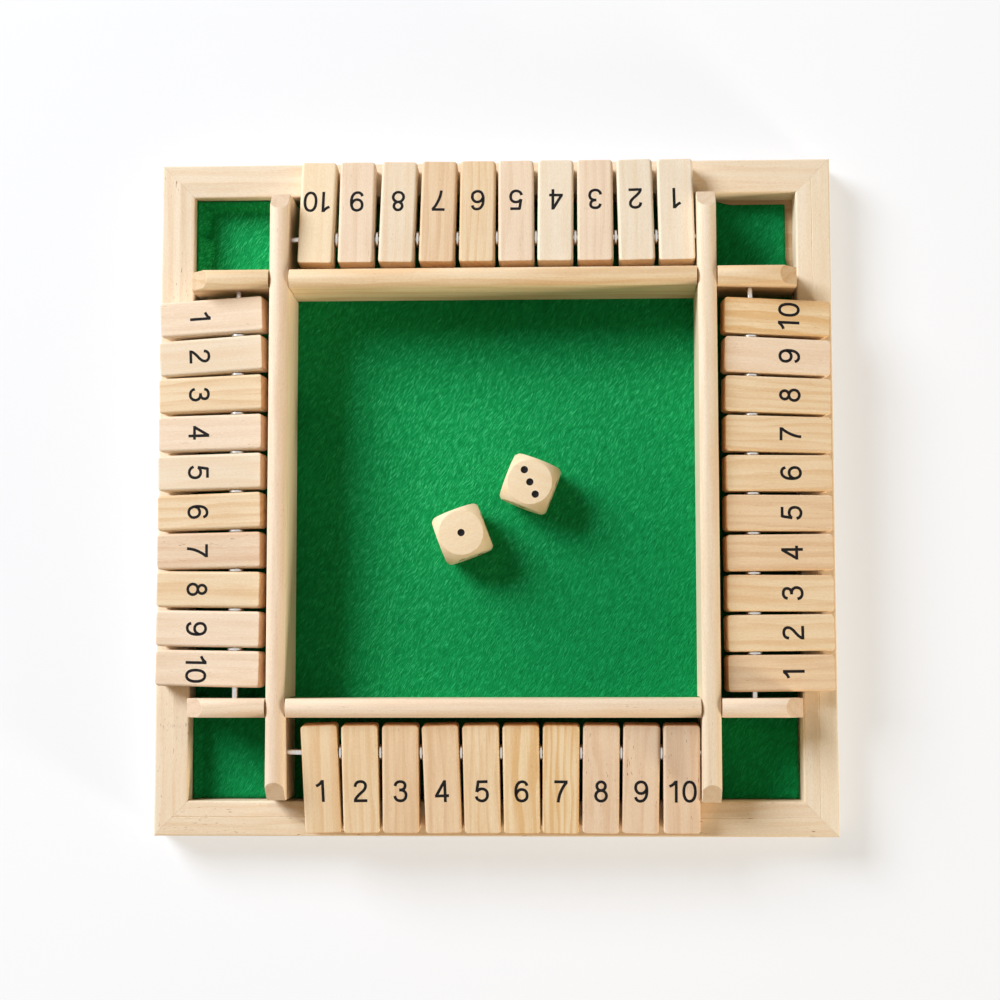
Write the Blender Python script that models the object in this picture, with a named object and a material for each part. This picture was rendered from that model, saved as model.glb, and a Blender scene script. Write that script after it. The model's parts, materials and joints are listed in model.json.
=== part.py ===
"""A four-sided shut the box game: tray, felt, crossing rails, four rows of number tiles and two dice.

Metres, +Z up. The origin is the middle of the underside. The side facing -Y is south.
"""
import math

import bmesh
import bpy
from mathutils import Matrix, Vector

# Number tiles
TILES_PER_ROW = 10
TILE_WIDTH = 0.0116
TILE_THICKNESS = 0.0075
TILE_ROUNDING = 0.0011
ROUNDING_STEPS = 2
LARGEST_SKEW = math.radians(2.8)

# Steel rods and the thin collars that part the tiles
AXLE_RADIUS = 0.001
AXLE_OFFSET = 0.0111
AXLE_RECESS = 0.0004
COLLAR_RADIUS = 0.0026
COLLAR_THICKNESS = 0.0008
COLLAR_PLAY = 0.00015
ROW_PLAY = 0.0061
ROUND_SIDES = 12

# Tray and rails
OVERALL_HEIGHT = 0.030
BASE_THICKNESS = 0.003
FELT_THICKNESS = 0.0008
RAIL_THICKNESS = 0.006
RAIL_CROWN = 0.0017
RAIL_END_GAP = 0.0011
RAIL_END_BEVEL = 0.0059
RAIL_ARC_STEPS = 8
TROUGH_WIDTH = 0.0271

# Outer mouldings
MOULDING_WIDTH = 0.0113
MOULDING_HEIGHT = 0.0142
MOULDING_FLAT = 0.0052
MOULDING_SLOPE = math.radians(7.0)
MOULDING_ROUNDING = 0.0008
REBATE_DEPTH = 0.004
TILE_LIP = 0.002

# Dice
DIE_SIZE = 0.0159
DIE_BALL_RADIUS = 0.0107
DIE_BALL_SIDES = 28
DIE_PLACES = {"die_one": ((-0.0104, -0.0129), 20.6), "die_three": ((0.0118, 0.0034), -21.3)}

# Clearances and cutting overrun
JOINT_GAP = 0.0003
SWING_GAP = 0.0013
STOP_GAP = 0.0003
OVERRUN = 0.001

# Sizes that follow
COLLAR_PITCH_GAP = COLLAR_THICKNESS + 2 * COLLAR_PLAY
TRAY_WIDTH = TILES_PER_ROW * TILE_WIDTH + (TILES_PER_ROW - 1) * COLLAR_PITCH_GAP + ROW_PLAY
RAIL_INNER = TRAY_WIDTH / 2
RAIL_LINE = RAIL_INNER + RAIL_THICKNESS / 2
RAIL_OUTER = RAIL_INNER + RAIL_THICKNESS
FRAME_INNER = RAIL_OUTER + TROUGH_WIDTH
FRAME_OUTER = FRAME_INNER + MOULDING_WIDTH
RAIL_REACH = FRAME_INNER - RAIL_END_GAP
FELT_BOTTOM = BASE_THICKNESS + JOINT_GAP
FELT_TOP = FELT_BOTTOM + FELT_THICKNESS
RAIL_FOOT = FELT_TOP + JOINT_GAP
RAIL_HALF = RAIL_THICKNESS / 2
RAIL_ARC_RADIUS = (RAIL_HALF ** 2 + RAIL_CROWN ** 2) / (2 * RAIL_CROWN)
RAIL_ARC_CENTRE = OVERALL_HEIGHT - RAIL_ARC_RADIUS
LAP_HEIGHT = (RAIL_FOOT + OVERALL_HEIGHT) / 2
AXLE_LINE = RAIL_OUTER + AXLE_OFFSET
AXLE_TO_CREASE = FRAME_INNER + MOULDING_FLAT - AXLE_LINE
AXLE_HEIGHT = (MOULDING_HEIGHT + (TILE_THICKNESS / 2 + JOINT_GAP) / math.cos(MOULDING_SLOPE)
               + AXLE_TO_CREASE * math.tan(MOULDING_SLOPE))
TILE_INNER_REACH = math.sqrt((AXLE_OFFSET - SWING_GAP) ** 2 - (TILE_THICKNESS / 2) ** 2)
TILE_OUTER_REACH = (FRAME_OUTER - AXLE_LINE - TILE_LIP) / math.cos(MOULDING_SLOPE)
TILE_BORE_RADIUS = AXLE_RADIUS + JOINT_GAP + TILE_WIDTH / 2 * math.sin(LARGEST_SKEW)
RAIL_BORE_RADIUS = AXLE_RADIUS + JOINT_GAP

# Each row seen by the player who sits at it, from the tile 1 to the tile 10: how far each tile is
# skewed on its rod, in degrees, how the row's play is shared before, between and after the tiles, and
# how much of the room at its ends the rail behind the row has slipped towards the tile 10.
ROWS = {
    "south": {
        "turn": 0,
        "skews": (2.3, 1.0, 0.0, 1.9, 1.0, 0.6, -0.6, -0.6, -0.9, 0.1),
        "play_shares": (0.82, 0.02, 0.04, 0.03, 0.01, 0, 0, 0, 0, 0, 0.08),
        "slip_share": 0.0,
    },
    "east": {
        "turn": 90,
        "skews": (0.4, 0.7, 0.0, 0.8, 0.0, 0.2, -1.0, -1.6, -2.0, -1.9),
        "play_shares": (0.33, 0, 0, 0.02, 0.01, 0.01, 0.01, 0, 0, 0, 0.62),
        "slip_share": -0.7,
    },
    "north": {
        "turn": 180,
        "skews": (0.8, 1.2, 0.1, -0.4, 0.3, -0.5, -1.3, -1.5, -0.5, -1.5),
        "play_shares": (0.10, 0.05, 0.09, 0.04, 0, 0, 0.04, 0.08, 0.10, 0.06, 0.44),
        "slip_share": 0.0,
    },
    "west": {
        "turn": 270,
        "skews": (2.3, 2.7, 1.4, 0.6, 0.9, 1.5, 0.7, -0.8, -1.1, -1.1),
        "play_shares": (0.37, 0.01, 0.01, 0.01, 0, 0.01, 0.01, 0, 0, 0, 0.58),
        "slip_share": 0.2,
    },
}

# Finishes: colour, roughness, metallic
PINE = ("pine", (0.83, 0.66, 0.43, 1.0), 0.55, 0.0)
PINE_LIGHT = ("pine_light", (0.87, 0.72, 0.50, 1.0), 0.55, 0.0)
PLYWOOD = ("plywood", (0.72, 0.55, 0.36, 1.0), 0.7, 0.0)
GREEN_FELT = ("green_felt", (0.01, 0.32, 0.08, 1.0), 0.95, 0.0)
STEEL = ("steel", (0.62, 0.61, 0.60, 1.0), 0.25, 1.0)


def clear_scene():
    """Remove every object of the open scene."""
    for item in list(bpy.data.objects):
        bpy.data.objects.remove(item, do_unlink=True)


def finish_material(finish):
    """Return the material of a finish, made at its first use."""
    name, colour, roughness, metallic = finish
    found = bpy.data.materials.get(name)
    if found:
        return found
    made = bpy.data.materials.new(name)
    made.use_nodes = True
    shader = made.node_tree.nodes["Principled BSDF"]
    shader.inputs["Base Color"].default_value = colour
    shader.inputs["Roughness"].default_value = roughness
    shader.inputs["Metallic"].default_value = metallic
    made.diffuse_color = colour
    return made


def mesh_from_bmesh(name, shape):
    """Turn a bmesh into a mesh with its faces pointing out."""
    bmesh.ops.recalc_face_normals(shape, faces=shape.faces)
    mesh = bpy.data.meshes.new(name)
    shape.to_mesh(mesh)
    shape.free()
    return mesh


def add_object(name, mesh, finish=None):
    """Link a mesh into the scene as a named object with its finish."""
    item = bpy.data.objects.new(name, mesh)
    bpy.context.scene.collection.objects.link(item)
    if finish and not mesh.materials:
        mesh.materials.append(finish_material(finish))
    return item


def box_into(shape, low, high):
    """Add a closed box between two corners to a bmesh."""
    size = [top - bottom for bottom, top in zip(low, high)]
    middle = [(top + bottom) / 2 for bottom, top in zip(low, high)]
    matrix = Matrix.Translation(middle) @ Matrix.Diagonal((*size, 1))
    return bmesh.ops.create_cube(shape, size=1, matrix=matrix)["verts"]


def box_mesh(name, low, high):
    """Return a plain box mesh between two corners."""
    shape = bmesh.new()
    box_into(shape, low, high)
    return mesh_from_bmesh(name, shape)


def rod_into(shape, middle, half_length, radius):
    """Add a closed round bar along X to a bmesh."""
    matrix = Matrix.Translation(middle) @ Matrix.Rotation(math.pi / 2, 4, "Y")
    bmesh.ops.create_cone(shape, cap_ends=True, segments=ROUND_SIDES, radius1=radius, radius2=radius,
                          depth=2 * half_length, matrix=matrix)


def loft(name, rings):
    """Join closed rings of points, one after the other, and cap both ends."""
    shape = bmesh.new()
    loops = [[shape.verts.new(point) for point in ring] for ring in rings]
    count = len(loops[0])
    for first, second in zip(loops, loops[1:]):
        for step in range(count):
            after = (step + 1) % count
            shape.faces.new((first[step], first[after], second[after], second[step]))
    shape.faces.new(loops[0])
    shape.faces.new(reversed(loops[-1]))
    return mesh_from_bmesh(name, shape)


def round_corner(before, corner, after, radius, steps=3):
    """Return the points of a fillet at one corner of an outline."""
    corner, before, after = Vector(corner), Vector(before), Vector(after)
    back, forth = (before - corner).normalized(), (after - corner).normalized()
    half_angle = back.angle(forth) / 2
    middle = corner + (back + forth).normalized() * (radius / math.sin(half_angle))
    start = corner + back * (radius / math.tan(half_angle))
    end = corner + forth * (radius / math.tan(half_angle))
    spread = (start - middle).angle_signed(end - middle)
    turns = [Matrix.Rotation(-spread * step / steps, 2) for step in range(steps + 1)]
    return [tuple(middle + turn @ (start - middle)) for turn in turns]


def cut(item, cutter):
    """Cut an object by a guide object that stays in the file as a wire."""
    cutter.hide_render = True
    cutter.display_type = "WIRE"
    modifier = item.modifiers.new("cut", "BOOLEAN")
    modifier.operation = "DIFFERENCE"
    modifier.solver = "EXACT"
    modifier.object = cutter


def applied_mesh(item):
    """Return the mesh of an object with its modifiers applied."""
    graph = bpy.context.evaluated_depsgraph_get()
    return bpy.data.meshes.new_from_object(item.evaluated_get(graph))


def smooth(mesh, angle=math.radians(40)):
    """Shade a mesh smooth, with sharp edges where its faces meet at more than an angle."""
    mesh.shade_smooth()
    mesh.set_sharp_from_angle(angle=angle)


def row_matrix(row):
    """Return the turn that carries the south row onto another row."""
    return Matrix.Rotation(math.radians(ROWS[row]["turn"]), 4, "Z")


def build_base_board():
    """Make the plywood board that closes the tray from below."""
    reach = FRAME_INNER + REBATE_DEPTH - JOINT_GAP
    add_object("base_board", box_mesh("base_board", (-reach, -reach, 0), (reach, reach, BASE_THICKNESS)),
               PLYWOOD)


def build_felt():
    """Make the felt that covers the board between the mouldings."""
    reach = FRAME_INNER - JOINT_GAP
    add_object("felt_sheet", box_mesh("felt_sheet", (-reach, -reach, FELT_BOTTOM), (reach, reach, FELT_TOP)),
               GREEN_FELT)


def moulding_outline():
    """Return the section of an outer moulding, as (distance from the middle, height) points."""
    rebate_top = BASE_THICKNESS + JOINT_GAP
    crease = FRAME_INNER + MOULDING_FLAT
    outer_height = MOULDING_HEIGHT - (FRAME_OUTER - crease) * math.tan(MOULDING_SLOPE)
    inner_foot = (FRAME_INNER, rebate_top)
    inner_top = (FRAME_INNER, MOULDING_HEIGHT)
    crest = (crease, MOULDING_HEIGHT)
    outer_top = (FRAME_OUTER, outer_height)
    outer_foot = (FRAME_OUTER, 0)
    rebate = [(FRAME_INNER + REBATE_DEPTH, 0), (FRAME_INNER + REBATE_DEPTH, rebate_top)]
    return ([inner_foot] + round_corner(inner_foot, inner_top, crest, MOULDING_ROUNDING) + [crest]
            + round_corner(crest, outer_top, outer_foot, MOULDING_ROUNDING) + [outer_foot] + rebate)


def build_mouldings():
    """Make the four outer mouldings, mitred at the corners."""
    mitre_back = JOINT_GAP / 2 * math.sqrt(2)
    outline = moulding_outline()
    rings = [[(side * (reach - mitre_back), -reach, height) for reach, height in outline] for side in (-1, 1)]
    mesh = loft("moulding", rings)
    smooth(mesh)
    for row in ROWS:
        add_object("moulding_" + row, mesh, PINE).matrix_world = row_matrix(row)


def rail_mesh(slip):
    """Return a rail along X: a flat bar with a rounded top and ends cut back at 45 degrees."""
    spread = math.asin(RAIL_HALF / RAIL_ARC_RADIUS)
    turns = [spread * (1 - 2 * step / RAIL_ARC_STEPS) for step in range(RAIL_ARC_STEPS + 1)]
    outline = [(RAIL_ARC_RADIUS * math.sin(turn), RAIL_ARC_CENTRE + RAIL_ARC_RADIUS * math.cos(turn))
               for turn in turns]
    outline += [(-RAIL_HALF, RAIL_FOOT), (RAIL_HALF, RAIL_FOOT)]
    ends = (slip - RAIL_REACH, slip + RAIL_REACH)
    mesh = loft("rail", [[(end, across, height) for across, height in outline] for end in ends])
    shape = bmesh.new()
    shape.from_mesh(mesh)
    for end, way in zip(ends, (-1, 1)):
        on_cut = Vector((end, 0, OVERALL_HEIGHT - RAIL_END_BEVEL))
        parts = shape.verts[:] + shape.edges[:] + shape.faces[:]
        bmesh.ops.bisect_plane(shape, geom=parts, plane_co=on_cut, plane_no=(way, 0, 1), clear_outer=True)
        rim = [edge for edge in shape.edges if edge.is_boundary]
        bmesh.ops.edgeloop_fill(shape, edges=rim)
    bpy.data.meshes.remove(mesh)
    return mesh_from_bmesh("rail", shape)


def rail_cutter(name, lap_low, lap_high):
    """Return the guide that cuts the two laps and the two rod holes of a rail along X."""
    shape = bmesh.new()
    half_lap = RAIL_HALF + JOINT_GAP
    across = RAIL_HALF + OVERRUN
    for side in (-1, 1):
        box_into(shape, (side * RAIL_LINE - half_lap, -across, lap_low),
                 (side * RAIL_LINE + half_lap, across, lap_high))
        turned = Matrix.Translation((side * AXLE_LINE, 0, AXLE_HEIGHT)) @ Matrix.Rotation(math.pi / 2, 4, "X")
        bmesh.ops.create_cone(shape, cap_ends=True, segments=ROUND_SIDES, radius1=RAIL_BORE_RADIUS,
                              radius2=RAIL_BORE_RADIUS, depth=2 * across, matrix=turned)
    return add_object(name, mesh_from_bmesh(name, shape))


def build_rails():
    """Make the four rails: north and south are lapped from above, east and west from below."""
    upper = rail_cutter("cut_laps_above", LAP_HEIGHT - JOINT_GAP / 2, OVERALL_HEIGHT + OVERRUN)
    lower = rail_cutter("cut_laps_below", RAIL_FOOT - OVERRUN, LAP_HEIGHT + JOINT_GAP / 2)
    for row, guide in (("south", upper), ("east", lower), ("north", upper), ("west", lower)):
        blank = add_object("rail_blank", rail_mesh(ROWS[row]["slip_share"] * RAIL_END_GAP))
        cut(blank, guide)
        bpy.context.view_layer.update()
        made = applied_mesh(blank)
        bpy.data.objects.remove(blank)
        smooth(made, math.radians(30))
        rail = add_object("rail_" + row, made, PINE_LIGHT)
        rail.matrix_world = row_matrix(row) @ Matrix.Translation((0, -RAIL_LINE, 0))


def tile_places(row):
    """Return how far along its rod each tile of a row sits, from tile 1 to tile 10."""
    shares = ROWS[row]["play_shares"]
    places = []
    edge = -RAIL_INNER
    for index in range(TILES_PER_ROW):
        edge += shares[index] * ROW_PLAY
        places.append(edge + TILE_WIDTH / 2)
        edge += TILE_WIDTH + COLLAR_PITCH_GAP
    return places


def build_axles():
    """Make the steel rod of each row with its collars midway between the tiles."""
    reach = RAIL_OUTER - AXLE_RECESS
    for row in ROWS:
        places = tile_places(row)
        profile = [(-reach, AXLE_RADIUS)]
        for before, after in zip(places, places[1:]):
            middle = (before + after) / 2
            for side, radii in ((-1, (AXLE_RADIUS, COLLAR_RADIUS)), (1, (COLLAR_RADIUS, AXLE_RADIUS))):
                profile += [(middle + side * COLLAR_THICKNESS / 2, radius) for radius in radii]
        profile.append((reach, AXLE_RADIUS))
        turns = [2 * math.pi * step / ROUND_SIDES for step in range(ROUND_SIDES)]
        rings = [[(along, radius * math.cos(turn), radius * math.sin(turn)) for turn in turns]
                 for along, radius in profile]
        mesh = loft("axle_" + row, rings)
        smooth(mesh)
        axle = add_object("axle_" + row, mesh, STEEL)
        axle.matrix_world = row_matrix(row) @ Matrix.Translation((0, -AXLE_LINE, AXLE_HEIGHT))


def tile_mesh():
    """Return a number tile with rounded edges and the hole for its rod, which runs through the origin."""
    half_width, half_thickness = TILE_WIDTH / 2, TILE_THICKNESS / 2
    shape = bmesh.new()
    box_into(shape, (-half_width, -TILE_OUTER_REACH, -half_thickness),
             (half_width, TILE_INNER_REACH, half_thickness))
    bmesh.ops.bevel(shape, geom=shape.edges[:], offset=TILE_ROUNDING, offset_type="OFFSET",
                    segments=ROUNDING_STEPS, profile=0.5, affect="EDGES")
    blank = add_object("tile_blank", mesh_from_bmesh("tile_blank", shape))
    hole = bmesh.new()
    rod_into(hole, (0, 0, 0), half_width + OVERRUN, TILE_BORE_RADIUS)
    cutter = add_object("cut_tile_hole", mesh_from_bmesh("cut_tile_hole", hole))
    cut(blank, cutter)
    bpy.context.view_layer.update()
    made = applied_mesh(blank)
    bpy.data.objects.remove(blank)
    smooth(made)
    return made


def build_tiles():
    """Hang the tiles of each row on its rod, lying on the sloped moulding."""
    mesh = tile_mesh()
    for row in ROWS:
        for index, (place, skew) in enumerate(zip(tile_places(row), ROWS[row]["skews"])):
            on_rod = Matrix.Translation((place, -AXLE_LINE, AXLE_HEIGHT))
            lie = Matrix.Rotation(MOULDING_SLOPE, 4, "X") @ Matrix.Rotation(math.radians(skew), 4, "Z")
            tile = add_object("tile_%s_%d" % (row, index + 1), mesh, PINE_LIGHT)
            tile.matrix_world = row_matrix(row) @ on_rod @ lie


def build_dice():
    """Make the two dice: cubes whose corners a ball rounds off."""
    ball = bmesh.new()
    bmesh.ops.create_uvsphere(ball, u_segments=DIE_BALL_SIDES, v_segments=DIE_BALL_SIDES // 2,
                              radius=DIE_BALL_RADIUS)
    guide = add_object("cut_die_ball", mesh_from_bmesh("cut_die_ball", ball))
    half = DIE_SIZE / 2
    blank = add_object("die_blank", box_mesh("die_blank", (-half, -half, -half), (half, half, half)),
                       PINE_LIGHT)
    cut(blank, guide)
    blank.modifiers["cut"].operation = "INTERSECT"
    bpy.context.view_layer.update()
    mesh = applied_mesh(blank)
    bpy.data.objects.remove(blank)
    smooth(mesh)
    for name, ((across, along), turn) in DIE_PLACES.items():
        die = add_object(name, mesh, PINE_LIGHT)
        lift = FELT_TOP + JOINT_GAP + half
        die.matrix_world = (Matrix.Translation((across, along, lift))
                            @ Matrix.Rotation(math.radians(turn), 4, "Z"))


def main():
    """Build the whole game."""
    clear_scene()
    build_base_board()
    build_felt()
    build_mouldings()
    build_rails()
    build_axles()
    build_tiles()
    build_dice()


main()
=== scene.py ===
"""Dresses a four-sided shut the box game: sanded pine, green felt, steel rods and printed numbers.

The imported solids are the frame. Each piece is built again at its place with fine edges, takes its
sizes from the solid that it stands for, and rides on that solid's body.
"""
from __future__ import annotations

import json
import logging
import math
import random
from dataclasses import dataclass, field
from enum import Enum
from typing import Any, Iterable, Optional, Sequence, Union

import bmesh
import bpy
import numpy as np
from mathutils import Matrix, Vector, noise

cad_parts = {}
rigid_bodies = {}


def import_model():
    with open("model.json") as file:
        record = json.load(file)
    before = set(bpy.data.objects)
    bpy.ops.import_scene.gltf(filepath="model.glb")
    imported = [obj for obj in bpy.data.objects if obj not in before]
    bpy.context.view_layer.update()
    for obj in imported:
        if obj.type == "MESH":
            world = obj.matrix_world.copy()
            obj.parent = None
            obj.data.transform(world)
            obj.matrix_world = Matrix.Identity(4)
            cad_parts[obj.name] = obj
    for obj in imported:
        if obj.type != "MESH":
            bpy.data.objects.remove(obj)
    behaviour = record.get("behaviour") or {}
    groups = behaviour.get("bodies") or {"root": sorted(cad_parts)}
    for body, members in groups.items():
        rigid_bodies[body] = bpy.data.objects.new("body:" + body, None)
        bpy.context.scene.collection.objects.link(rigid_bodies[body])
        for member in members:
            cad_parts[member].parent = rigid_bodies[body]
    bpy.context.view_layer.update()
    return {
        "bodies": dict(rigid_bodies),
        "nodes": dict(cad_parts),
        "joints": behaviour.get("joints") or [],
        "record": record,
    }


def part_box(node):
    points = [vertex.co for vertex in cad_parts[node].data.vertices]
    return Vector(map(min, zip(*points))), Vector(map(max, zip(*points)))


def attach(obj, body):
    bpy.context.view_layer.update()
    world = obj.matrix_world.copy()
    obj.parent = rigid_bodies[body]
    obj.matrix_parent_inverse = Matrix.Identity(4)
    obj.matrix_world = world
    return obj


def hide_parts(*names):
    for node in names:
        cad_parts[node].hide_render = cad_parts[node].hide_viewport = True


LOG = logging.getLogger("shut_the_box")
MM = 0.001
Colour = tuple[float, float, float]
Point = tuple[float, float, float]
Pair = tuple[float, float]
Change = tuple[str, dict[str, Any]]


class Side(Enum):
    """A side of the board, with the turn in degrees that carries the south side onto it."""

    SOUTH = 0
    EAST = 90
    NORTH = 180
    WEST = 270

    @property
    def word(self) -> str:
        """The side's name as the nodes spell it."""
        return self.name.lower()

    @property
    def turn(self) -> Matrix:
        """The rotation that carries the south side onto this one."""
        return Matrix.Rotation(math.radians(self.value), 4, "Z")

    def box(self, node: str) -> tuple[Vector, Vector]:
        """Measure a node in this side's own frame, where the side lies to the south.

        Args:
            node: The name of a solid of the frame.

        Returns:
            The node's lowest and highest corners.
        """
        corners = [self.turn.inverted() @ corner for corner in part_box(node)]
        low = Vector([min(corner[axis] for corner in corners) for axis in range(3)])
        high = Vector([max(corner[axis] for corner in corners) for axis in range(3)])
        return low, high


class Grain(Enum):
    """The axis of a piece's own frame that its wood fibres follow."""

    X = 0
    Y = 1


class Signal:
    """A number that a shader works out, written with Python's own operators."""

    def __init__(self, shader: Nodes, socket: bpy.types.NodeSocket) -> None:
        """Wrap an output socket of a node."""
        self.shader = shader
        self.socket = socket

    def maths(self, operation: str, *terms: Union[Signal, float], first: bool = True) -> Signal:
        """Add a Math node that works on this number.

        Args:
            operation: The node's operation.
            terms: The other numbers that it takes.
            first: Whether this number comes before the others.

        Returns:
            The node's result.
        """
        order = (self, *terms) if first else (*terms, self)
        node = self.shader.node("ShaderNodeMath", {"operation": operation}, dict(enumerate(order)))
        return Signal(self.shader, node.outputs[0])

    def __add__(self, other: Union[Signal, float]) -> Signal:
        """Add."""
        return self.maths("ADD", other)

    __radd__ = __add__

    def __sub__(self, other: Union[Signal, float]) -> Signal:
        """Subtract."""
        return self.maths("SUBTRACT", other)

    def __rsub__(self, other: Union[Signal, float]) -> Signal:
        """Subtract this from another number."""
        return self.maths("SUBTRACT", other, first=False)

    def __mul__(self, other: Union[Signal, float]) -> Signal:
        """Multiply."""
        return self.maths("MULTIPLY", other)

    __rmul__ = __mul__

    def fraction(self) -> Signal:
        """Return what is left after the whole number."""
        return self.maths("FRACT")

    def root(self) -> Signal:
        """Return the square root."""
        return self.maths("SQRT")

    def size(self) -> Signal:
        """Return the number without its sign."""
        return self.maths("ABSOLUTE")

    def at_least(self, other: Union[Signal, float]) -> Signal:
        """Return the larger of two numbers."""
        return self.maths("MAXIMUM", other)

    def between(self, low: float, high: float) -> Signal:
        """Rise smoothly from 0 at the low value to 1 at the high one."""
        settings = {"interpolation_type": "SMOOTHSTEP", "clamp": True}
        values = {"Value": self, "From Min": low, "From Max": high, "To Min": 0.0, "To Max": 1.0}
        return Signal(self.shader, self.shader.node("ShaderNodeMapRange", settings, values).outputs[0])


@dataclass(frozen=True)
class Pattern:
    """Smooth noise: how many of its features go into a millimetre along each axis, and how rough it is."""

    scales: Point
    detail: float = 2.0
    roughness: float = 0.5


class Nodes:
    """A node tree under construction."""

    def __init__(self, tree: bpy.types.NodeTree) -> None:
        """Start from an emptied tree."""
        self.tree = tree
        self.tree.nodes.clear()

    def node(self, kind: str, settings: dict[str, Any],
             values: dict[Union[str, int], Any]) -> bpy.types.Node:
        """Add a node.

        Args:
            kind: The node's type.
            settings: What is set on the node itself, first, such as a Math node's operation.
            values: What its input sockets take: numbers, colours, sockets or signals.

        Returns:
            The new node.
        """
        made = self.tree.nodes.new(kind)
        for key, value in settings.items():
            setattr(made, key, value)
        for key, value in values.items():
            socket = made.inputs[key]
            if isinstance(value, Signal):
                self.tree.links.new(value.socket, socket)
            elif isinstance(value, bpy.types.NodeSocket):
                self.tree.links.new(value, socket)
            elif socket.type == "RGBA" and len(value) == 3:
                socket.default_value = (*value, 1.0)
            else:
                socket.default_value = value
        return made

    def mix(self, factor: Union[Signal, float], first: Any, second: Any, blend: str = "MIX") -> Any:
        """Mix two colours.

        Args:
            factor: How much of the second colour shows.
            first: A colour or a colour's socket.
            second: Another.
            blend: How they are laid over each other.

        Returns:
            The mixed colour's socket.
        """
        settings = {"data_type": "RGBA", "blend_type": blend, "clamp_factor": True}
        return self.node("ShaderNodeMix", settings, {0: factor, 6: first, 7: second}).outputs[2]

    def place(self, offset: Point) -> tuple[Signal, Signal, Signal]:
        """Return a piece's own coordinates in millimetres, moved by an offset."""
        coordinates = self.node("ShaderNodeTexCoord", {}, {}).outputs["Object"]
        scaled = self.node("ShaderNodeVectorMath", {"operation": "MULTIPLY_ADD"},
                           {0: coordinates, 1: (1 / MM, 1 / MM, 1 / MM), 2: offset}).outputs[0]
        split = self.node("ShaderNodeSeparateXYZ", {}, {0: scaled})
        x, y, z = (Signal(self, output) for output in split.outputs)
        return x, y, z

    def facing(self, axis: int) -> Signal:
        """Return how far the surface faces along one of the piece's own axes."""
        coordinates = self.node("ShaderNodeTexCoord", {}, {}).outputs["Normal"]
        return Signal(self, self.node("ShaderNodeSeparateXYZ", {}, {0: coordinates}).outputs[axis])

    def noise(self, place: Sequence[Signal], pattern: Pattern) -> Signal:
        """Return noise of about 0 to 1 over a place in millimetres."""
        scaled = {axis: place[axis] * pattern.scales[axis] for axis in range(3)}
        values = {"Vector": self.node("ShaderNodeCombineXYZ", {}, scaled).outputs[0], "Scale": 1.0,
                  "Detail": pattern.detail, "Roughness": pattern.roughness}
        return Signal(self, self.node("ShaderNodeTexNoise", {"noise_dimensions": "3D"}, values).outputs[0])

    def seen(self) -> Signal:
        """Return 1 on rays that show a surface straight on, in gloss or through glass."""
        path = self.node("ShaderNodeLightPath", {}, {})
        camera, glossy, through = (Signal(self, path.outputs["Is %s Ray" % kind])
                                   for kind in ("Camera", "Glossy", "Transmission"))
        return camera.at_least(glossy).at_least(through)


class Shader(Nodes):
    """The node tree of one material around a Principled shader."""

    def __init__(self, name: str, **constants: Any) -> None:
        """Start a material.

        Args:
            name: The material's name.
            constants: Values set on the shader's own sockets, named with underscores for spaces.
        """
        self.material = bpy.data.materials.new(name)
        self.material.use_nodes = True
        super().__init__(self.material.node_tree)
        named = {key.replace("_", " ").title().replace("Ior", "IOR"): value
                 for key, value in constants.items()}
        self.surface = self.node("ShaderNodeBsdfPrincipled", {}, named)
        self.node("ShaderNodeOutputMaterial", {}, {"Surface": self.surface.outputs[0]})

    def bump(self, height: Signal, depth: float) -> None:
        """Raise the surface by a height of 0 to 1 times a depth in metres."""
        values = {"Strength": 1.0, "Distance": depth, "Height": height}
        self.feed("Normal", self.node("ShaderNodeBump", {}, values).outputs[0])

    def feed(self, name: str, value: Union[Signal, bpy.types.NodeSocket]) -> None:
        """Link a value to a socket of the Principled shader."""
        source = value.socket if isinstance(value, Signal) else value
        self.tree.links.new(source, self.surface.inputs[name])


@dataclass(frozen=True)
class Board:
    """How one board of pine looks: its two colours, its growth rings and its brown flecks."""

    pale: Colour
    warm: Colour
    rings: float
    flecks: float


class Tone(Enum):
    """The kinds of board that the pieces were cut from."""

    CREAM = Board((0.92, 0.80, 0.63), (0.87, 0.70, 0.50), 0.22, 0.20)
    TORN = Board((0.92, 0.80, 0.63), (0.86, 0.69, 0.49), 0.22, 0.95)
    PALE = Board((0.95, 0.86, 0.71), (0.91, 0.78, 0.59), 0.20, 0.25)
    HONEY = Board((0.92, 0.76, 0.53), (0.82, 0.59, 0.35), 0.30, 0.20)
    TAN = Board((0.89, 0.70, 0.48), (0.78, 0.55, 0.34), 0.26, 0.35)
    AMBER = Board((0.93, 0.77, 0.52), (0.80, 0.54, 0.27), 0.45, 0.30)
    ROSY = Board((0.95, 0.80, 0.63), (0.87, 0.68, 0.50), 0.20, 0.35)
    BLOND = Board((0.98, 0.83, 0.60), (0.94, 0.76, 0.51), 0.10, 0.10)
    FLECKED = Board((0.88, 0.71, 0.53), (0.78, 0.56, 0.38), 0.24, 1.00)
    PLY = Board((0.78, 0.58, 0.37), (0.62, 0.42, 0.23), 0.40, 0.60)


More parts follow.
